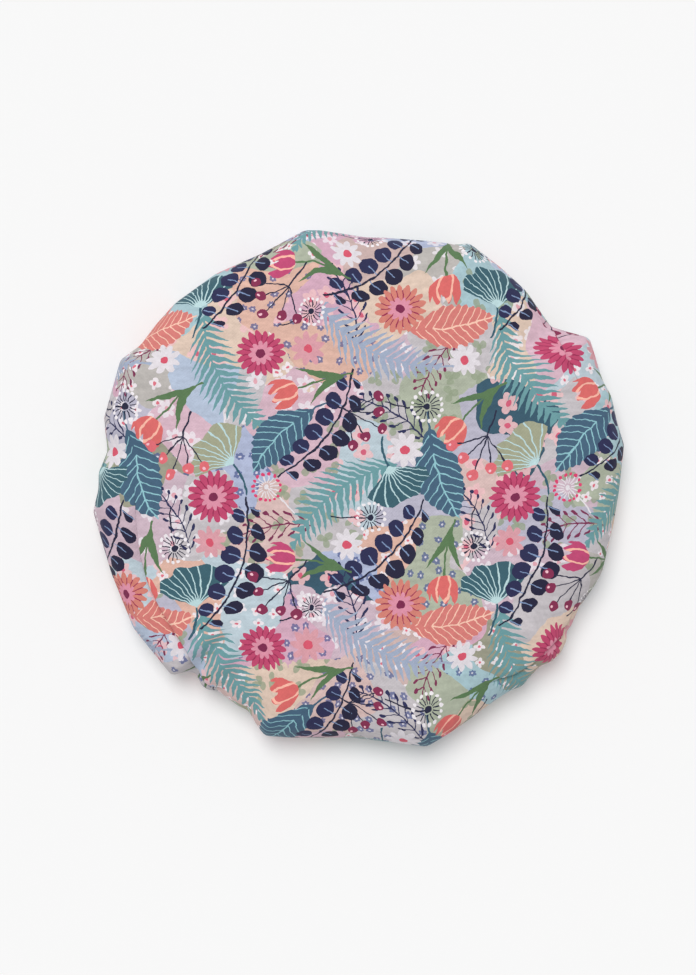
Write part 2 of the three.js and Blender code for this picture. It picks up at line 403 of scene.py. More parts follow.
def spun(profile, steps, degrees, rise=0, closed=False):
    """Spin a row of points round the upright axis, from +X."""
    bm = bmesh.new()
    points = [bm.verts.new((out * MM, 0, up * MM)) for out, up in profile]
    edges = [bm.edges.new(pair) for pair in zip(points, points[1:])]
    if closed:
        edges.append(bm.edges.new((points[-1], points[0])))
    bmesh.ops.spin(
        bm, geom=points + edges, axis=(0, 0, 1), cent=(0, 0, 0), dvec=(0, 0, rise * MM / steps), steps=steps,
        angle=math.radians(degrees),
    )
    bmesh.ops.remove_doubles(bm, verts=bm.verts, dist=1e-6)
    bmesh.ops.recalc_face_normals(bm, faces=bm.faces)
    return bm


def turned(profile, steps):
    """A row of points carried once round the upright axis as a grid, with its seam and any pole joined up."""
    bm = bmesh.new()
    bmesh.ops.create_grid(bm, x_segments=len(profile) - 1, y_segments=steps, size=0.5)
    uv = bm.loops.layers.uv.new("Strip")
    for face in bm.faces:
        for loop in face.loops:
            loop[uv].uv = (loop.vert.co.y + 0.5, loop.vert.co.x + 0.5)
    for vert in bm.verts:
        out, up = profile[round((vert.co.x + 0.5) * (len(profile) - 1))]
        turn = (vert.co.y + 0.5) * math.tau
        vert.co = Vector((out * math.cos(turn), out * math.sin(turn), up)) * MM
    bmesh.ops.remove_doubles(bm, verts=bm.verts, dist=1e-6)
    bmesh.ops.recalc_face_normals(bm, faces=bm.faces)
    return bm


def finished(bm, name):
    """Make a smooth-shaded object of a bmesh, at the origin, that rides with the cap."""
    for face in bm.faces:
        face.smooth = True
    mesh = bpy.data.meshes.new(name)
    bm.to_mesh(mesh)
    bm.free()
    piece = bpy.data.objects.new(name, mesh)
    bpy.context.scene.collection.objects.link(piece)
    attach(piece, "root")
    return piece


# By how much less the lining lies under the shell within the casing
CASING_SINK = 0.52


def round_cut(tucked, sink):
    """A round cut of cloth or film, gathered in to the hem, as a bmesh with the flat cut as its UV map."""
    rows = [start + (end - start) * k / count for start, end, count in CUT_ROWS for k in range(count)]
    bm = turned([(row, 0) for row in rows + [CUT_RADIUS]], STEPS)
    if sum(face.normal.z for face in bm.faces) < 0:
        bmesh.ops.reverse_faces(bm, faces=bm.faces)
    places = [close_rows(k * math.tau / STEPS) for k in range(STEPS)]
    for vert in bm.verts:
        flat = vert.co.length / MM
        if FIXED_IN < flat < FIXED_OUT:
            place = places[round(math.atan2(vert.co.y, vert.co.x) / math.tau * STEPS) % STEPS]
            moved = [
                (FIXED_IN, FIXED_IN), (CLOSE_IN, place - CLOSE_BEFORE), (CLOSE_OUT, place + CLOSE_BEYOND),
                (FIXED_OUT, FIXED_OUT),
            ]
            vert.co *= between(moved, flat)[0] / flat
    uv = bm.loops.layers.uv["Strip"]
    for face in bm.faces:
        for loop in face.loops:
            loop[uv].uv = loop.vert.co.xy / (2 * CUT_RADIUS * MM) + Vector((0.5, 0.5))
    for vert in bm.verts:
        vert.co = cloth_point(vert.co.xy.length / MM, math.atan2(vert.co.y, vert.co.x), tucked)
    bm.normal_update()
    if sink:
        moves = [(vert, vert.normal * sink * MM) for vert in bm.verts]
        for vert, move in moves:
            low = smooth(85, SEAM_RADIUS, vert.co.xy.length / MM) * smooth(15, 12, vert.co.z / MM)
            vert.co -= move * (1 - CASING_SINK * low)
    return bm


def walled(piece, thickness, offset):
    """Give a sheet its thickness."""
    wall = piece.modifiers.new("Wall", "SOLIDIFY")
    wall.thickness = thickness * MM
    wall.offset = offset
    return piece


shell = walled(finished(round_cut(True, 0), "printed_shell"), SHELL_THICKNESS, -1)
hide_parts("outer_shell")
lining = walled(finished(round_cut(False, LINING_SINK), "film_lining"), LINING_THICKNESS, -1)
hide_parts("inner_lining")

# Section of the tape, folded round the elastic and over both edges, its own edges turned under:
# distance out, then height from the shell's face
TAPE = [
    (77.6, -0.6), (79.2, -0.6), (79.5, -0.78), (79.2, -0.96), (76.6, -0.94), (STITCH_RADIUS, -0.8),
    (73.8, -1.1), (72.4, -1.6), (70.0, -2.0), (67.4, -1.7), (66.0, -0.9), (65.6, 0.2), (66.0, 1.3),
    (67.4, 2.1), (70.0, 2.5), (72.4, 2.2), (73.8, 1.8), (STITCH_RADIUS, 1.55), (76.6, 1.7), (79.2, 1.72),
    (79.5, 1.54), (79.2, 1.36), (77.6, 1.35),
]


# Round the elastic, in from the stitches, the tape is calm, with less of the hem's wave, and loose, so that
# it puffs up and in between the gathers
CALM, CALM_IN = 0.85, (74.6, 72)
LOOSE_IN = (74.4, 72.5)
TURN_STEP = 0.004


def hem_point(out, up, turn):
    """Where a point of the tape's section lies in the gathered hem."""
    calm = 1 - CALM * smooth(*CALM_IN, out)
    loose = smooth(*LOOSE_IN, out)
    puff = ring_value(HEM_GATHERS, turn)
    up *= 1 + loose * ((0.75 * puff - 0.2) if up > 0 else (0.35 - 0.55 * puff))
    slope = calm * (hem_wave(turn + TURN_STEP) - hem_wave(turn - TURN_STEP)) / (2 * TURN_STEP * out)
    out += 0.9 * loose * (0.5 - puff) * smooth(70, 66.5, out)
    height = HEM_LEVEL + calm * hem_wave(turn) + up * math.hypot(1, slope)
    return Vector((out * math.cos(turn), out * math.sin(turn), height)) * MM


def hemmed(bm):
    """Move a spun section of tape into the gathered hem."""
    for vert in bm.verts:
        vert.co = hem_point(vert.co.xy.length / MM, vert.co.z / MM, math.atan2(vert.co.y, vert.co.x))
    return bm


binding = walled(finished(hemmed(turned(TAPE, STEPS)), "hem_tape"), TAPE_THICKNESS, 0)
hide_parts("hem_binding")

# The tape's end, lapped over its start and lifted by a little more than its thickness
TAPE_LAP_LIFT = 1.3
lap = spun(TAPE[2:-2], TAPE_LAP_STEPS, degrees=TAPE_LAP_STEPS * 360 / STEPS)
mouth = min(lap.verts, key=lambda vert: vert.co.xy.length)
outward = 1 if mouth.normal.xy.dot(mouth.co.xy) < 0 else -1
moves = [(vert, vert.normal * outward * TAPE_LAP_LIFT * TAPE_THICKNESS * MM) for vert in lap.verts]
for vert, move in moves:
    vert.co += move
hemmed(lap)
tape_end = walled(finished(lap, "tape_lap"), TAPE_THICKNESS, 0)

# Elastic strip, its ends lapped, so it climbs by a little more than its thickness in one turn
ELASTIC_CORNERS = [
    (-0.92, -1), (0, -1), (0.92, -1), (1, -0.5), (1, 0.5), (0.92, 1), (0, 1), (-0.92, 1), (-1, 0.5),
    (-1, -0.5),
]
ELASTIC_STEPS = 200
ELASTIC_CLIMB = 1.15 * ELASTIC_THICKNESS
ELASTIC_DROP = 0.35
half, edge = ELASTIC_WIDTH / 2, ELASTIC_THICKNESS / 2
section = [(ELASTIC_RADIUS + half * across, edge * up) for across, up in ELASTIC_CORNERS]
turns = 1 + ELASTIC_LAP / ELASTIC_RADIUS / math.tau
strip = spun(section, ELASTIC_STEPS, degrees=360 * turns, rise=ELASTIC_CLIMB * turns, closed=True)
bmesh.ops.holes_fill(strip, edges=[side for side in strip.edges if side.is_boundary], sides=0)
bmesh.ops.translate(strip, verts=strip.verts, vec=(0, 0, (HEM_LEVEL - ELASTIC_DROP) * MM))
bmesh.ops.recalc_face_normals(strip, faces=strip.faces)
elastic = finished(strip, "elastic_strip")
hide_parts("elastic_band")

# One row of lockstitch through tape, shell and lining: thread on both faces of the hem
THREAD_LEVELS = (-1.02, 1.77)
STITCH_HALF = Vector((0.25, 0.44, 0.2))
row = bmesh.new()
for level in THREAD_LEVELS:
    lie = Matrix.Translation(Vector((STITCH_RADIUS, 0, level)) * MM) @ Matrix.Diagonal((*STITCH_HALF * MM, 1))
    bmesh.ops.create_uvsphere(row, u_segments=6, v_segments=5, radius=1, matrix=lie)
bmesh.ops.spin(
    row, geom=[*row.verts, *row.edges, *row.faces], axis=(0, 0, 1), cent=(0, 0, 0), steps=STITCHES - 1,
    angle=math.tau * (1 - 1 / STITCHES), use_duplicate=True,
)
hemmed(row)
bmesh.ops.recalc_face_normals(row, faces=row.faces)
stitches = finished(row, "hem_stitches")


def colour(code):
    """Linear colour of an sRGB hex value."""
    values = [int(code[k:k + 2], 16) / 255 for k in (1, 3, 5)]
    return (*[v / 12.92 if v <= 0.04045 else ((v + 0.055) / 1.055) ** 2.4 for v in values], 1)


MODES = {"Mix": "data_type", "TexNoise": "noise_dimensions", "TexVoronoi": "voronoi_dimensions"}


def add(kind, inputs=(), **settings):
    """Add a node to the current material, with its settings and with values or links for its inputs.

    A second word in its kind is what it works out, its kind of data or its dimensions. A kind in capitals
    is what a Math node works out.
    """
    kind, *mode = (["Math", kind] if kind.isupper() else kind.split())
    made = tree.nodes.new("ShaderNode" + kind)
    if mode:
        setattr(made, MODES.get(kind, "operation"), mode[0])
    for name, value in settings.items():
        setattr(made, name, value)
    for place, value in (inputs.items() if isinstance(inputs, dict) else enumerate(inputs)):
        if isinstance(value, bpy.types.Node):
            value = next(out for out in value.outputs if out.enabled)
        if isinstance(value, bpy.types.NodeSocket):
            tree.links.new(value, made.inputs[place])
        else:
            made.inputs[place].default_value = value
    return made


def surface(name, *pieces):
    """Give the pieces a new material, and return its empty node tree."""
    made = bpy.data.materials.new(name)
    made.use_nodes = True
    made.node_tree.nodes.clear()
    for piece in pieces:
        piece.data.materials.append(made)
    return made.node_tree


def cut_place():
    """Place on the flat round cut in millimetres, from its UV map."""
    cut = add("UVMap", uv_map="Strip")
    return add("VectorMath MULTIPLY", (cut.outputs["UV"], (2 * CUT_RADIUS, 2 * CUT_RADIUS, 0)))


def hem_place():
    """Place seen from above in millimetres, its distance out and its turn, from Object coordinates."""
    place = add("TexCoord").outputs["Object"]
    parts = add("SeparateXYZ", (place,))
    turn = add("ARCTAN2", (parts.outputs["Y"], parts.outputs["X"]))
    flat_place = add("VectorMath MULTIPLY", (place, (1 / MM, 1 / MM, 0)))
    return flat_place, add("VectorMath LENGTH", (flat_place,)), turn


def shaded(paint, shade):
    """A colour made darker or lighter by a number."""
    grey = add("CombineColor", (shade, shade, shade))
    return add("Mix RGBA", {0: 1.0, 6: paint, 7: grey}, blend_type="MULTIPLY")


def painted(below, tone, layers):
    """Lay a motif's parts over the print, each a mask and its colour, or two colours for the tone to pick."""
    for mask, *codes in layers:
        paint, *second = [colour(code) for code in codes]
        if second:
            paint = add("Mix RGBA", {0: tone, 6: paint, 7: second[0]})
        below = add("Mix RGBA", {0: mask, 6: below, 7: paint})
    return below


def both(mask, other):
    """Mask of what lies in two masks."""
    return add("MULTIPLY", (mask, other))


def disc(place, radius):
    """Mask of what lies within a radius of the middle."""
    away = add("VectorMath LENGTH", (place,))
    return add("LESS_THAN", (away, radius))


def stem_mask(x, y, width, middle, half):
    """Mask of a stem: half its width, then where its middle is and half its length."""
    out = add("ABSOLUTE", (x,))
    thin = add("LESS_THAN", (out, width))
    return both(thin, add("COMPARE", (y, middle, half)))


def swing(kind, value, scale, shift=0):
    """Sine or cosine of a number, after a scale and a shift."""
    value = add("MULTIPLY_ADD", (value, scale, shift))
    return add(kind, (value,))


def bumps(kind, value, scale, shift=0):
    """The same without its sign."""
    return add("ABSOLUTE", (swing(kind, value, scale, shift),))


# Repeat of the print in millimetres
TILE = 160


def nearest_spot(place, spots):
    """Place within the nearest of a motif's spots in the repeat, in millimetres. Its Z is the spot's tone.

    A spot is its place across and along the repeat, its turn in degrees, its size and its tone.
    """
    own = near = None
    for across, along, turn, size, tone in spots:
        high = (across + TILE / 2, along + TILE / 2, 1)
        low = (across - TILE / 2, along - TILE / 2, -1)
        inside = add("VectorMath WRAP", (place, high, low))
        lie = ((across, along, -tone), (0, 0, math.radians(turn)), (size, size, 1))
        here = add("Mapping", (inside, *lie), vector_type="TEXTURE")
        away = add("VectorMath LENGTH", (here,))
        if own:
            closer = add("LESS_THAN", (away, near))
            own = add("Mix VECTOR", {0: closer, 4: own, 5: here})
            near = add("MINIMUM", (away, near))
        else:
            own, near = here, away
    return own


def curved_stem(place, spots, bend):
    """Distance across, along and squared along a stem that bends, the spot's tone, and the plain place.

    A motif below returns the tone and its layers, each a mask and one colour or two.
    """
    own = nearest_spot(place, spots)
    parts = add("SeparateXYZ", (own,))
    square = add("MULTIPLY", (parts.outputs["Y"], parts.outputs["Y"]))
    across = add("MULTIPLY_ADD", (square, bend, parts.outputs["X"]))
    return across, parts.outputs["Y"], square, parts.outputs["Z"], own


def around(place, spots, bend=0):
    """For round motifs: distance across and along, the tone, and the turn and distance from the middle."""
    x, y, _, tone, own = curved_stem(place, spots, bend)
    return x, y, tone, add("ARCTAN2", (x, y)), add("VectorMath LENGTH", (own,))


def coin_sprig(place):
    """A bent stem with round leaves on each side in turn."""
    x, y, square, _, _ = curved_stem(place, COIN_SPOTS, -0.007)
    out = add("ABSOLUTE", (x,))
    right = add("GREATER_THAN", (x, 0))
    row = add("MULTIPLY_ADD", (right, 5.4, y))
    row = add("WRAP", (row, 5.4, -5.4))
    slim = add("MULTIPLY_ADD", (square, -0.0004, 1))
    from_middle = add("MULTIPLY_ADD", (slim, -7.2, out))
    from_middle = add("CombineXYZ", (from_middle, row, 0))
    from_middle = add("VectorMath LENGTH", (from_middle,))
    reach = add("MULTIPLY", (slim, 5.1))
    leaf = add("LESS_THAN", (from_middle, reach))
    within = add("LESS_THAN", (square, 1090))
    leaf = both(leaf, within)
    row = add("ABSOLUTE", (row,))
    vein = add("LESS_THAN", (row, 0.3))
    short = add("LESS_THAN", (out, 8))
    vein = both(vein, short)
    vein = both(vein, within)
    stem = add("LESS_THAN", (out, 0.55))
    within = add("LESS_THAN", (square, 1380))
    stem = both(stem, within)
    return right, [(leaf, "#1a1838", "#23254e"), (vein, "#7f96bd"), (stem, "#181a38")]


def fern(place):
    """A bent stem with many narrow leaflets that slope towards its tip."""
    x, y, square, tone, _ = curved_stem(place, FERN_SPOTS, 0.0075)
    out = add("ABSOLUTE", (x,))
    reach = add("MULTIPLY_ADD", (square, -0.0095, 12.6))
    reach = add("MULTIPLY_ADD", (y, -0.1, reach))
    share = add("DIVIDE", (out, reach))
    slope = add("MULTIPLY_ADD", (out, -0.75, y))
    row = add("WRAP", (slope, 1.9, -1.9))
    row = add("ABSOLUTE", (row,))
    width = add("MULTIPLY", (share, share))
    width = add("MULTIPLY_ADD", (width, -1.5, 1.5))
    leaf = add("LESS_THAN", (row, width))
    in_reach = add("LESS_THAN", (share, 1))
    leaf = both(leaf, in_reach)
    stem = add("LESS_THAN", (out, 0.5))
    leaf = add("MAXIMUM", (leaf, stem))
    within = add("LESS_THAN", (square, 1290))
    leaf = both(leaf, within)
    return tone, [(leaf, "#6a9ba0", "#9fabc2")]


def fan_leaf(place):
    """A fan-shaped leaf with ribs from the foot and a scalloped edge."""
    x, y, tone, turn, away = around(place, FAN_SPOTS, 0.02)
    scallop = swing("COSINE", turn, 9)
    reach = add("MULTIPLY_ADD", (scallop, 1.2, 21))
    leaf = add("LESS_THAN", (away, reach))
    open_to = add("ABSOLUTE", (turn,))
    inside = add("LESS_THAN", (open_to, 1.08))
    leaf = both(leaf, inside)
    rib = bumps("SINE", turn, 13)
    rib = add("MULTIPLY", (rib, away))
    rib = add("LESS_THAN", (rib, 3.6))
    rib = both(rib, leaf)
    stem = stem_mask(x, y, 0.6, -8, 8)
    return tone, [(leaf, "#365e6b", "#a2a48a"), (rib, "#bcd9dc"), (stem, "#2f5a6b")]


def broad_leaf(place):
    """A broad leaf with light veins and a waved edge."""
    x, y, square, tone, _ = curved_stem(place, BROAD_SPOTS, 0.006)
    out = add("ABSOLUTE", (x,))
    slope = add("MULTIPLY_ADD", (out, -0.8, y))
    reach = add("MULTIPLY_ADD", (square, -0.021, 11))
    reach = add("MULTIPLY_ADD", (y, -0.12, reach))
    wave = swing("COSINE", slope, math.tau / 4.6)
    edge = add("MULTIPLY_ADD", (wave, -0.5, reach))
    leaf = add("LESS_THAN", (out, edge))
    vein = add("GREATER_THAN", (wave, 0.9))
    middle = add("LESS_THAN", (out, 0.4))
    vein = add("MAXIMUM", (vein, middle))
    vein = both(vein, leaf)
    stem = stem_mask(x, y, 0.6, -24, 10)
    leafy = ("#42617a", "#d57b75")
    return tone, [(leaf, *leafy), (vein, "#8fc3cc", "#f9c9b4"), (stem, *leafy)]


def tulip(place):
    """A cup-shaped flower on a bent stem between two long leaves."""
    x, y, _, tone, own = curved_stem(place, TULIP_SPOTS, 0.005)
    out = add("ABSOLUTE", (x,))
    foot = add("ADD", (y, 24))
    arch = add("MULTIPLY", (foot, foot))
    arch = add("MULTIPLY", (arch, 0.016))
    width = swing("SINE", foot, math.pi / 26)
    width = add("MULTIPLY", (width, 1.9))
    leaf = add("COMPARE", (out, arch, width))
    low = add("COMPARE", (y, -11, 13))
    leaf = both(leaf, low)
    stem = stem_mask(x, y, 0.55, -8, 18)
    leaf = add("MAXIMUM", (leaf, stem))
    cup = add("Mapping", (own, (0, 14, 0), (0, 0, 0), (8.4, 9.4, 9)), vector_type="TEXTURE")
    cup = disc(cup, 1)
    tips = bumps("COSINE", x, 0.62)
    tips = add("MULTIPLY_ADD", (tips, 5, 15))
    tips = add("LESS_THAN", (y, tips))
    cup = both(cup, tips)
    heart = add("Mapping", (own, (0, 11, 0), (0, 0, 0), (3.6, 8, 8)), vector_type="TEXTURE")
    heart = add("VectorMath LENGTH", (heart,))
    heart = add("COMPARE", (heart, 1, 0.14))
    heart = both(heart, cup)
    return tone, [(leaf, "#587850"), (cup, "#da6866", "#c04673"), (heart, "#f8b9a6")]


def pompom(place):
    """A full round flower of many narrow petals in two rings."""
    _, _, tone, turn, away = around(place, POMPOM_SPOTS)
    petal = bumps("SINE", turn, 9)
    reach = add("MULTIPLY_ADD", (petal, 3.4, 10.4))
    outer = add("LESS_THAN", (away, reach))
    line = add("MULTIPLY", (petal, away))
    line = add("LESS_THAN", (line, 2.6))
    line = both(line, outer)
    petal = bumps("COSINE", turn, 5.5, 0.4)
    reach = add("MULTIPLY_ADD", (petal, 2.4, 4.6))
    inner = add("LESS_THAN", (away, reach))
    middle = add("LESS_THAN", (away, 2.5))
    return tone, [(outer, "#c0446c", "#d48073"), (line, "#98244f"), (inner, "#dd90a6"), (middle, "#7a1f4a")]


def berries(place):
    """Five berries on thin stalks that spread from one stem."""
    x, y, tone, turn, away = around(place, BERRY_SPOTS)
    part = add("WRAP", (turn, 0.24, -0.24))
    wide = add("ABSOLUTE", (turn,))
    wide = add("LESS_THAN", (wide, 1.2))
    side = add("SINE", (part,))
    side = add("MULTIPLY", (side, away))
    slot = add("SUBTRACT", (turn, part))
    slot = swing("COSINE", slot, 5)
    length = add("MULTIPLY_ADD", (slot, 2.6, 19))
    beyond = add("SUBTRACT", (away, length))
    from_middle = add("CombineXYZ", (side, beyond, 0))
    berry = disc(from_middle, 2.9)
    berry = both(berry, wide)
    glint = add("VectorMath DISTANCE", (from_middle, (0.9, 0.9, 0)))
    glint = add("LESS_THAN", (glint, 0.75))
    glint = both(glint, wide)
    stalk = add("ABSOLUTE", (side,))
    stalk = add("LESS_THAN", (stalk, 0.36))
    short = add("LESS_THAN", (away, length))
    stalk = both(stalk, short)
    stalk = both(stalk, wide)
    stem = stem_mask(x, y, 0.5, -7, 7.5)
    stalk = add("MAXIMUM", (stalk, stem))
    return tone, [(stalk, "#20233f"), (berry, "#86284f", "#df6a73"), (glint, "#f7c3cf")]


def daisy(place):
    """A flower of nine round-ended petals."""
    _, _, tone, turn, away = around(place, DAISY_SPOTS)
    part = add("WRAP", (turn, math.pi / 9, -math.pi / 9))
    side = add("SINE", (part,))
    side = add("MULTIPLY", (side, away))
    beyond = add("SUBTRACT", (away, 5.4))
    petal = add("CombineXYZ", (side, beyond, 0))
    petal = add("VectorMath MULTIPLY", (petal, (1 / 1.75, 1 / 3.4, 0)))
    petal = disc(petal, 1)
    middle = add("LESS_THAN", (away, 2.3))
    return tone, [(petal, "#e0dae0", "#d99ca6"), (middle, "#d6546b")]


def seed_head(place):
    """A round seed head: fine spokes with a dot at each end, on a thin stem."""
    x, y, tone, turn, away = around(place, SEED_SPOTS, 0.01)
    part = add("WRAP", (turn, math.pi / 16, -math.pi / 16))
    side = add("SINE", (part,))
    side = add("MULTIPLY", (side, away))
    beyond = add("SUBTRACT", (away, 7.6))
    tip = add("CombineXYZ", (side, beyond, 0))
    tip = disc(tip, 0.95)
    spoke = add("ABSOLUTE", (side,))
    spoke = add("LESS_THAN", (spoke, 0.27))
    ring = add("COMPARE", (away, 4.9, 2.5))
    spoke = both(spoke, ring)
    heart = add("LESS_THAN", (away, 1.7))
    spoke = add("MAXIMUM", (spoke, heart))
    stem = stem_mask(x, y, 0.42, -11, 10)
    spoke = add("MAXIMUM", (spoke, stem))
    return tone, [(spoke, "#1b1e3a", "#e6e1e6"), (tip, "#efeaee", "#dd3f70")]


def budded_twig(place):
    """A thin bent twig with slanting stalks that each end in a small bud."""
    x, y, square, tone, _ = curved_stem(place, TWIG_SPOTS, 0.009)
    out = add("ABSOLUTE", (x,))
    slope = add("MULTIPLY_ADD", (out, -0.9, y))
    row = add("WRAP", (slope, 2.6, -2.6))
    row = add("ABSOLUTE", (row,))
    stalk = add("LESS_THAN", (row, 0.36))
    reach = add("MULTIPLY_ADD", (square, -0.011, 7))
    beyond = add("SUBTRACT", (out, reach))
    short = add("LESS_THAN", (beyond, 0))
    stalk = both(stalk, short)
    bud = add("CombineXYZ", (row, beyond, 0))
    bud = disc(bud, 1.25)
    stalk = add("MAXIMUM", (stalk, bud))
    stem = add("LESS_THAN", (out, 0.42))
    stalk = add("MAXIMUM", (stalk, stem))
    within = add("LESS_THAN", (square, 490))
    stalk = both(stalk, within)
    return tone, [(stalk, "#262a55", "#7b2a50")]


def scattered(place, patch_pick, low, high, strength, pitch, reach, petals, dip):
    """Masks of small flowers on an uneven grid, and of their hearts, for patches with a pick in a range."""
    grid = add("VectorMath SCALE", {0: place, "Scale": 1 / pitch})
    cell = add("TexVoronoi 2D", {"Vector": grid, "Scale": 1, "Randomness": 0.55})
    own = add("VectorMath SUBTRACT", (grid, cell.outputs["Position"]))
    parts = add("SeparateXYZ", (own,))
    turn = add("ARCTAN2", (parts.outputs["X"], parts.outputs["Y"]))
    pick = add("SeparateColor", (cell.outputs["Color"],))
    turn = add("MULTIPLY_ADD", (pick.outputs["Blue"], math.tau, turn))
    wave = bumps("COSINE", turn, petals / 2)
    edge = add("MULTIPLY_ADD", (wave, reach * dip / pitch, reach * (1 - dip) / pitch))
    flower = add("LESS_THAN", (cell.outputs["Distance"], edge))
    middle = add("LESS_THAN", (cell.outputs["Distance"], reach * 0.27 / pitch))
    there = add("COMPARE", (patch_pick, (low + high) / 2, (high - low) / 2))
    there = add("MULTIPLY", (there, strength))
    return both(flower, there), both(middle, there)


# Spots in the repeat: across, along, turn in degrees, size, tone
COIN_SPOTS = [(6, 26, 161, 1, 0), (-77, 30, 133, 1, 0), (53, -61, 146, 0.95, 0)]
FERN_SPOTS = [(-3, -37, 212, 1.1, 0), (-79, -20, 247, 1.1, 1), (52, 63, 132, 1.1, 0)]
FAN_SPOTS = [(-76, 80, 207, 1, 0), (2, -79, 44, 1.05, 1), (-17, 6, 6, 1.05, 0)]
BROAD_SPOTS = [(24, -66, 139, 1, 0), (-38, -5, 281, 1, 1), (-48, 72, 202, 1.1, 0)]
TULIP_SPOTS = [(40, -36, 112, 1, 0), (39, 30, 82, 1, 1), (-34, -52, 137, 1, 0), (-45, 26, 176, 1, 0)]
POMPOM_SPOTS = [(16, -19, 0, 0.95, 0), (-69, 6, 10, 1, 1), (-8, 64, 20, 1, 0)]
BERRY_SPOTS = [(31, 19, 137, 1, 0), (-24, -64, 160, 1, 1), (63, -50, 242, 0.95, 0)]
DAISY_SPOTS = [
    (62, 38, 0, 1, 0), (41, -16, 8, 1.1, 1), (-35, -23, 16, 1, 0), (-10, 40, 4, 1, 1), (-67, -71, 12, 1.1, 0),
]
TWIG_SPOTS = [
    (64, 10, 20, 1, 0), (22, 49, 100, 0.95, 1), (-74, -50, 60, 1, 0), (-53, -28, 150, 0.9, 1),
    (-27, 54, 30, 0.9, 0),
]
SEED_SPOTS = [
    (75, 53, 279, 1, 0), (20, 69, 58, 0.95, 1), (-29, 37, 194, 1, 0), (43, 4, 304, 0.9, 0),
    (-55, -48, 275, 1.05, 0),
]

# Plain-weave polyester with a printed, painted design: matt ink with brush streaks and dabs, a fine even
# weave, soft wide creases and hardly any sheen
tree = surface("plain-weave polyester, painted print", shell)
flat_place = cut_place()
shake = add("TexNoise 2D", {"Vector": flat_place, "Scale": 0.16, "Detail": 2})
shake = add("VectorMath ADD", (shake.outputs["Color"], (-0.5, -0.5, -0.5)))
brushed = add("VectorMath MULTIPLY_ADD", (shake, (2.4, 2.4, 0), flat_place))

# Ground: patches of colour 30 to 50 mm across with loose edges
drift = add("TexNoise 2D", {"Vector": flat_place, "Scale": 0.024, "Detail": 1})
drift = add("VectorMath ADD", (drift.outputs["Color"], (-0.5, -0.5, -0.5)))
patches = add("VectorMath MULTIPLY_ADD", (drift, (50, 50, 0), brushed))
patch = add("TexVoronoi 2D", {"Vector": patches, "Scale": 1 / 32, "Randomness": 1})
pick = add("SeparateColor", (patch.outputs["Color"],))
GROUND = [
    "#bbb8c9", "#dcbea8", "#b0b9d5", "#bdcdd6", "#d8b6c4", "#b9b4b0", "#a8c5cd", "#aeb5a2", "#c6c0c4",
    "#deb4a4", "#cab0ac", "#d5aabe", "#9c9b88", "#b6c3d8", "#d7bab6", "#dfc7b6", "#ceb6c3", "#34576a",
]
ground = add("ValToRGB", (pick.outputs["Red"],))
ground.color_ramp.interpolation = "CONSTANT"
stops = ground.color_ramp.elements
stops.remove(stops[1])
for k, tone in enumerate(GROUND):
    stop = stops.new(k / len(GROUND)) if k else stops[0]
    stop.color = colour(tone)
streaks = add("Mapping", (brushed, (0, 0, 0), (0, 0, 0.7), (0.05, 0.28, 1)))
streaks = add("TexNoise 2D", {"Vector": streaks, "Scale": 1, "Detail": 3, "Roughness": 0.6})
print_colour = shaded(ground, add("MapRange", (streaks.outputs["Fac"], 0.25, 0.75, 0.88, 1.07)))

# Small flowers, leaves and dots, each on some of the patches: range of the patch's pick, strength, pitch,
# reach, petals, dip between the petals, colour, colour of the heart
SCATTER = [
    (0.00, 0.17, 0.9, 10, 3.0, 4, 0.5, "#efe7ec", "#dc5a70"),
    (0.19, 0.40, 0.85, 15, 5.4, 5, 0.42, "#ecbfc2", "#cf3d66"),
    (0.42, 0.58, 0.8, 9, 2.2, 6, 0.3, "#4c5a90", "#e9e4ee"),
    (0.64, 0.78, 0.8, 13, 4.6, 3, 0.7, "#94a086", "#94a086"),
    (0.80, 0.96, 0.75, 14, 5.0, 6, 0.45, "#ece6ec", "#e08f9e"),
]
for *shape, petal_code, heart_code in SCATTER:
    petals, hearts = scattered(brushed, pick.outputs["Green"], *shape)
    print_colour = painted(print_colour, 0, [(petals, petal_code), (hearts, heart_code)])
for motif in (budded_twig, fern, broad_leaf, fan_leaf, coin_sprig, seed_head, tulip, berries, pompom, daisy):
    print_colour = painted(print_colour, *motif(brushed))
dabs = add("TexNoise 2D", {"Vector": flat_place, "Scale": 0.35, "Detail": 3, "Roughness": 0.65})
print_colour = shaded(print_colour, add("MapRange", (dabs.outputs["Fac"], 0.3, 0.7, 0.93, 1.05)))

# Threads are about 0.3 mm apart; drawn 0.9 mm apart, so that the weave shows at all
THREAD_GAP = 0.9
threads = math.pi / THREAD_GAP
threads = add("VectorMath MULTIPLY", (flat_place, (threads, threads, 0)))
threads = add("VectorMath SINE", (threads,))
threads = add("SeparateXYZ", (threads,))
weave = add("MULTIPLY", (threads.outputs["X"], threads.outputs["Y"]))
creases = add("TexNoise 2D", {"Vector": flat_place, "Scale": 0.06, "Detail": 4, "Roughness": 0.55})
soft_bump = add("Bump", {"Strength": 0.5, "Distance": 0.0012, "Height": creases.outputs["Fac"]})
weave_bump = add("Bump", {"Strength": 0.35, "Distance": 0.00012, "Height": weave, "Normal": soft_bump})
skin = add("BsdfPrincipled", {
    "Base Color": print_colour, "Roughness": 0.82, "IOR": 1.45, "Sheen Weight": 0.05, "Sheen Roughness": 0.5,
    "Normal": weave_bump,
})
add("OutputMaterial", {"Surface": skin})

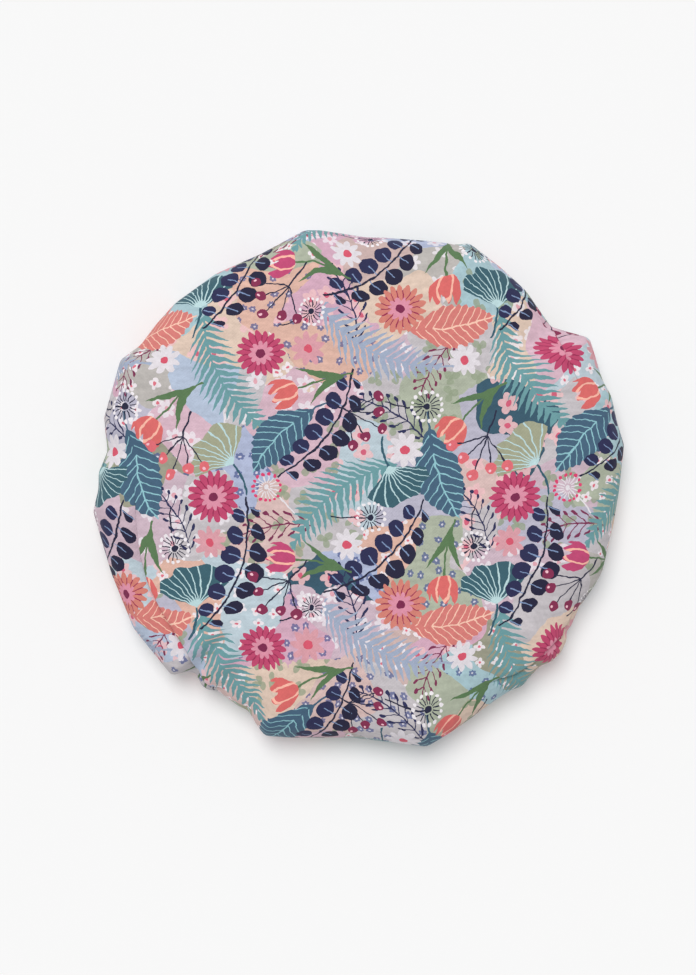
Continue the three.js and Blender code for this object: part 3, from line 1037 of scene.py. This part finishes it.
# Bias tape of polyester: a matt, slanting weave with painted shade in its dips and in the groove where the
# stitches press it in, paler along its outer folds. Threads are about 0.3 mm apart; drawn 0.9 mm apart, so
# that they show
TAPE_MIDDLE = 73
tree = surface("polyester bias tape, woven", binding, tape_end)
flat_place, out, turn = hem_place()
slant = math.pi / (THREAD_GAP * math.sqrt(2))
out_wave = add("MULTIPLY", (out, slant))
warp = swing("SINE", turn, round(slant * TAPE_MIDDLE), out_wave)
weft = swing("SINE", turn, -round(slant * TAPE_MIDDLE), out_wave)
weave = add("MULTIPLY", (warp, weft))
pressed = add("COMPARE", (out, STITCH_RADIUS, 0.75))
uneven = add("TexNoise 2D", {"Vector": flat_place, "Scale": 0.22, "Detail": 3, "Roughness": 0.6})
shade = add("MapRange", (uneven.outputs["Fac"], 0.3, 0.7, 0.92, 1.05))
# Painted shade: the colour is darker in the weave's dips and in the groove that the stitches press in, over
# an uneven tone
shade = add("MULTIPLY_ADD", (weave, 0.035, shade))
shade = add("MULTIPLY_ADD", (pressed, -0.12, shade))
# Paler towards the tape's outer folds, from 78.9 to 79.5 mm out
paler_at_folds = add("MapRange", (out, 78.9, 79.5, 0, 0.3))
pink = add("Mix RGBA", {0: paler_at_folds, 6: colour("#cf8fa9"), 7: colour("#e9c3d1")})
along = add("MULTIPLY", (turn, 34))
across = add("MULTIPLY", (out, 0.11))
puckers = add("CombineXYZ", (along, across, 0))
puckers = add("TexNoise 2D", {"Vector": puckers, "Scale": 1, "Detail": 3, "Roughness": 0.55})
soft_bump = add("Bump", {"Strength": 0.6, "Distance": 0.0009, "Height": puckers.outputs["Fac"]})
bump = {"Strength": 0.5, "Distance": 0.00025, "Height": pressed, "Normal": soft_bump}
press_bump = add("Bump", bump, invert=True)
weave_bump = add("Bump", {"Strength": 0.5, "Distance": 0.00014, "Height": weave, "Normal": press_bump})
rough = add("MapRange", (uneven.outputs["Fac"], 0.3, 0.7, 0.68, 0.82))
skin = add("BsdfPrincipled", {
    "Base Color": shaded(pink, shade), "Roughness": rough, "IOR": 1.45, "Sheen Weight": 0.1,
    "Sheen Roughness": 0.4, "Normal": weave_bump,
})
add("OutputMaterial", {"Surface": skin})

# Spun polyester thread: pale, slightly glossy, its plies twisted. A ply is about 0.1 mm wide; drawn
# three to a stitch, so that the twist shows
PLIES = 3
tree = surface("spun polyester thread, twisted", stitches)
flat_place, out, turn = hem_place()
across = add("MULTIPLY", (out, 9))
plies = swing("SINE", turn, PLIES * STITCHES, across)
fuzz = add("TexNoise 2D", {"Vector": flat_place, "Scale": 2.5, "Detail": 2})
shade = add("MapRange", (plies, -1, 1, 0, 0.45))
pale = add("Mix RGBA", {0: shade, 6: colour("#f1dfe6"), 7: colour("#d3b4c1")})
rough = add("MapRange", (fuzz.outputs["Fac"], 0.3, 0.7, 0.42, 0.66))
ply_bump = add("Bump", {"Strength": 0.5, "Distance": 0.00006, "Height": plies})
skin = add("BsdfPrincipled", {
    "Base Color": pale, "Roughness": rough, "IOR": 1.5, "Sheen Weight": 0.15, "Sheen Roughness": 0.4,
    "Normal": ply_bump,
})
add("OutputMaterial", {"Surface": skin})

# Braided elastic: white polyester yarn over rubber strands, so it shows raised ribs along the strip,
# crossed by the slanting picks of the braid
RIB_GAP = 0.8
PICK_GAP = 0.9
tree = surface("white elastic, braided", elastic)
flat_place, out, turn = hem_place()
ribs = swing("COSINE", out, math.tau / RIB_GAP)
bend = add("MULTIPLY", (ribs, 1.3))
picks = swing("SINE", turn, round(math.tau * ELASTIC_RADIUS / PICK_GAP), bend)
relief = add("MULTIPLY_ADD", (picks, 0.35, ribs))
uneven = add("TexNoise 2D", {"Vector": flat_place, "Scale": 0.3, "Detail": 2})
# Painted shade: the colour is darker in the low parts between the ribs and the picks
shade = add("MapRange", (relief, -1.2, 1.2, 0.55, 0))
white = add("Mix RGBA", {0: shade, 6: colour("#efebe4"), 7: colour("#c3bcb2")})
rough = add("MapRange", (uneven.outputs["Fac"], 0.3, 0.7, 0.6, 0.78))
braid_bump = add("Bump", {"Strength": 0.7, "Distance": 0.0002, "Height": relief})
skin = add("BsdfPrincipled", {
    "Base Color": white, "Roughness": rough, "IOR": 1.5, "Sheen Weight": 0.2, "Sheen Roughness": 0.4,
    "Normal": braid_bump,
})
add("OutputMaterial", {"Surface": skin})

# Frosted PEVA film: milky and half matt, with soft folds 15 to 30 mm long and small crinkles where it is
# gathered. Its calendered grain is about 0.2 mm; drawn 0.8 mm, so that it shows
tree = surface("frosted PEVA film, calendered", lining)
flat_place = cut_place()
middle = add("VectorMath SUBTRACT", (flat_place, (CUT_RADIUS, CUT_RADIUS, 0)))
out = add("VectorMath LENGTH", (middle,))
bends = {"Vector": flat_place, "Scale": 0.05, "Detail": 3, "Roughness": 0.5, "Distortion": 0.6}
folds = add("TexNoise 2D", bends)
bends = {"Vector": flat_place, "Scale": 0.24, "Detail": 3, "Roughness": 0.6, "Distortion": 0.8}
crinkles = add("TexNoise 2D", bends)
gathered = add("MapRange", (out, 130, 215, 0.15, 1))
crinkles = add("MULTIPLY", (crinkles.outputs["Fac"], gathered))
grain = add("TexNoise 2D", {"Vector": flat_place, "Scale": 1.25, "Detail": 1})
cloudy = add("MapRange", (folds.outputs["Fac"], 0.3, 0.7, 0, 0.6))
milky = add("Mix RGBA", {0: cloudy, 6: colour("#e9ecef"), 7: colour("#dbe0e6")})
rough = add("MapRange", (grain.outputs["Fac"], 0.3, 0.7, 0.34, 0.5))
soft_bump = add("Bump", {"Strength": 0.6, "Distance": 0.003, "Height": folds.outputs["Fac"]})
crinkle_bump = add("Bump", {"Strength": 0.6, "Distance": 0.0012, "Height": crinkles, "Normal": soft_bump})
grain_bump = add("Bump", {
    "Strength": 0.3, "Distance": 0.00008, "Height": grain.outputs["Fac"], "Normal": crinkle_bump,
})
skin = add("BsdfPrincipled", {
    "Base Color": milky, "Roughness": rough, "IOR": 1.48, "Coat Weight": 0.1, "Coat Roughness": 0.3,
    "Normal": grain_bump,
})
add("OutputMaterial", {"Surface": skin})

# Floor
FLOOR_HALF = 12
floor_bm = bmesh.new()
bmesh.ops.create_grid(floor_bm, x_segments=1, y_segments=1, size=FLOOR_HALF)
floor_mesh = bpy.data.meshes.new("floor")
floor_bm.to_mesh(floor_mesh)
floor_bm.free()
floor = bpy.data.objects.new("floor", floor_mesh)
bpy.context.scene.collection.objects.link(floor)

# Matt paper: plain white without a sheen. The camera sees it partly glow, so that it stays even and white
# while it keeps the cap's shadow
WHITE = colour("#f8f8f8")
GLOW = 0.14
tree = surface("matt white studio paper", floor)
lit = add("BsdfDiffuse", {"Color": colour("#f7f7f7")})
plain = add("Emission", {"Color": WHITE, "Strength": 1})
seen = add("LightPath")
clean = add("MULTIPLY", (seen.outputs["Is Camera Ray"], GLOW))
skin = add("MixShader", {0: clean, 1: lit, 2: plain})
add("OutputMaterial", {"Surface": skin})

# Camera, straight above and a little to the left, as the cap lies right of the picture's middle
lens = bpy.data.cameras.new("camera")
lens.sensor_fit = "HORIZONTAL"
lens.sensor_width = 36
lens.lens = 116.5
lens.clip_start = 0.01
lens.clip_end = 20
camera = bpy.data.objects.new("camera", lens)
camera.location = (-0.0063, 0, 1.25)
bpy.context.scene.collection.objects.link(camera)
bpy.context.scene.camera = camera

# Light: an even sky, which the camera sees as white as the floor, and a broad soft key from above the
# picture's top and a little left
SKY_STRENGTH = 0.46
world = bpy.data.worlds.new("studio")
world.use_nodes = True
tree = world.node_tree
sky = tree.nodes["Background"]
sky.inputs["Color"].default_value = (1, 1, 1, 1)
seen = add("LightPath")
strength = add("MapRange", (seen.outputs["Is Camera Ray"], 0, 1, SKY_STRENGTH, WHITE[0]))
tree.links.new(strength.outputs["Result"], sky.inputs["Strength"])
bpy.context.scene.world = world
key_light = bpy.data.lights.new("key", "SUN")
key_light.energy = 1.9
key_light.angle = math.radians(32)
key = bpy.data.objects.new("key", key_light)
key.location = (-0.28, 0.82, 2)
key.rotation_mode = "QUATERNION"
key.rotation_quaternion = Vector(key.location).to_track_quat("Z", "Y")
bpy.context.scene.collection.objects.link(key)

bpy.context.scene.view_settings.view_transform = "Standard"
